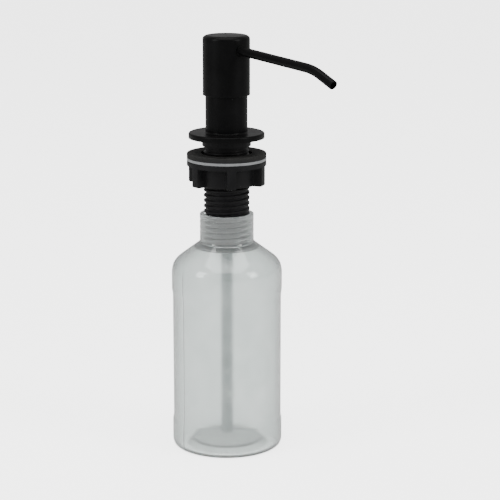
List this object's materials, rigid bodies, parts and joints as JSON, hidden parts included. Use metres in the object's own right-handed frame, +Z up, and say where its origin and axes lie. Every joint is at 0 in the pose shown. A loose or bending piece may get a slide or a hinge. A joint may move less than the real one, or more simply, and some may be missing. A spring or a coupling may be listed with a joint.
{
  "type": "deck-mounted detergent dispenser with bottle",
  "caption": "Built-in detergent dispenser: black pump head with a long slim spout on a deck flange, threaded shank, clamp nut and a screw-on bottle with a lift-out pump.",
  "frame": {"origin": "on the pump's axis, level with the top of the sink deck (the underside of the deck gasket)", "axes": "+Z up along the pump's axis, -Y along the spout in its rest direction, +X to the right seen from the spout's side"},
  "size_m": [0.062, 0.1219, 0.233],
  "materials": {
    "black_metal": "matt black coating on metal, slightly satin",
    "black_plastic": "moulded black plastic, fine texture",
    "grey_plastic": "smooth grey plastic",
    "natural_plastic": "uncoloured pump plastic, smooth",
    "clear_plastic": "translucent extruded tube",
    "bottle_plastic": "translucent blow-moulded plastic, waxy",
    "rubber": "moulded rubber, dull",
    "steel": "bright stainless wire and balls"
  },
  "bodies": {
    "sink_fixture": {"deck_collar": "black_metal", "deck_gasket": "rubber", "threaded_shank": "black_plastic"},
    "clamp_washers": {"rubber_washer": "rubber", "friction_washer": "grey_plastic"},
    "nut": {"mounting_nut": "black_plastic"},
    "bottle_seal_ring": {"bottle_seal": "rubber"},
    "bottle_shell": {"bottle": "bottle_plastic"},
    "pump_insert": {"pump_closure": "black_plastic", "closure_o_ring": "rubber", "stem_guide": "natural_plastic", "pump_housing": "natural_plastic", "dip_tube": "clear_plastic", "return_spring": "steel"},
    "inlet_valve": {"inlet_ball": "steel"},
    "plunger": {"pump_stem": "natural_plastic", "piston": "natural_plastic", "spring_seat": "natural_plastic"},
    "outlet_valve": {"outlet_ball": "steel"},
    "pump_head": {"head_cap": "black_metal", "head_core": "black_plastic", "spout_tube": "black_metal", "spout_o_ring": "rubber"}
  },
  "joints": [
    {"name": "clamp_travel", "type": "slide", "parent": "sink_fixture", "child": "clamp_washers", "axis": [0, 0, 1], "range_m": [-0.015, 0.005]},
    {"name": "nut_turn", "type": "hinge", "parent": "clamp_washers", "child": "nut", "pos_m": [0, 0, -0.012], "axis": [0, 0, 1], "range_deg": [-1800, 600]},
    {"name": "bottle_travel", "type": "slide", "parent": "sink_fixture", "child": "bottle_seal_ring", "axis": [0, 0, 1], "range_m": [-0.016, 0]},
    {"name": "bottle_turn", "type": "hinge", "parent": "bottle_seal_ring", "child": "bottle_shell", "pos_m": [0, 0, -0.06], "axis": [0, 0, 1], "range_deg": [-1920, 0]},
    {"name": "pump_lift", "type": "slide", "parent": "sink_fixture", "child": "pump_insert", "axis": [0, 0, 1], "range_m": [0, 0.21]},
    {"name": "inlet_ball_lift", "type": "slide", "parent": "pump_insert", "child": "inlet_valve", "axis": [0, 0, 1], "range_m": [0, 0.002]},
    {"name": "pump_press", "type": "slide", "parent": "pump_insert", "child": "plunger", "axis": [0, 0, -1], "range_m": [0, 0.013], "stiffness_N_per_m": 600, "springref_m": -0.01, "deforming": ["return_spring"]},
    {"name": "outlet_ball_lift", "type": "slide", "parent": "plunger", "child": "outlet_valve", "axis": [0, 0, 1], "range_m": [0, 0.0015]},
    {"name": "head_swivel", "type": "hinge", "parent": "plunger", "child": "pump_head", "pos_m": [0, 0, 0.046], "axis": [0, 0, 1], "continuous": true}
  ],
  "couplings": [
    {"joint": "clamp_travel", "follows": "nut_turn", "m_per_rad": 0.00047746},
    {"joint": "bottle_travel", "follows": "bottle_turn", "m_per_rad": 0.00047746}
  ]
}
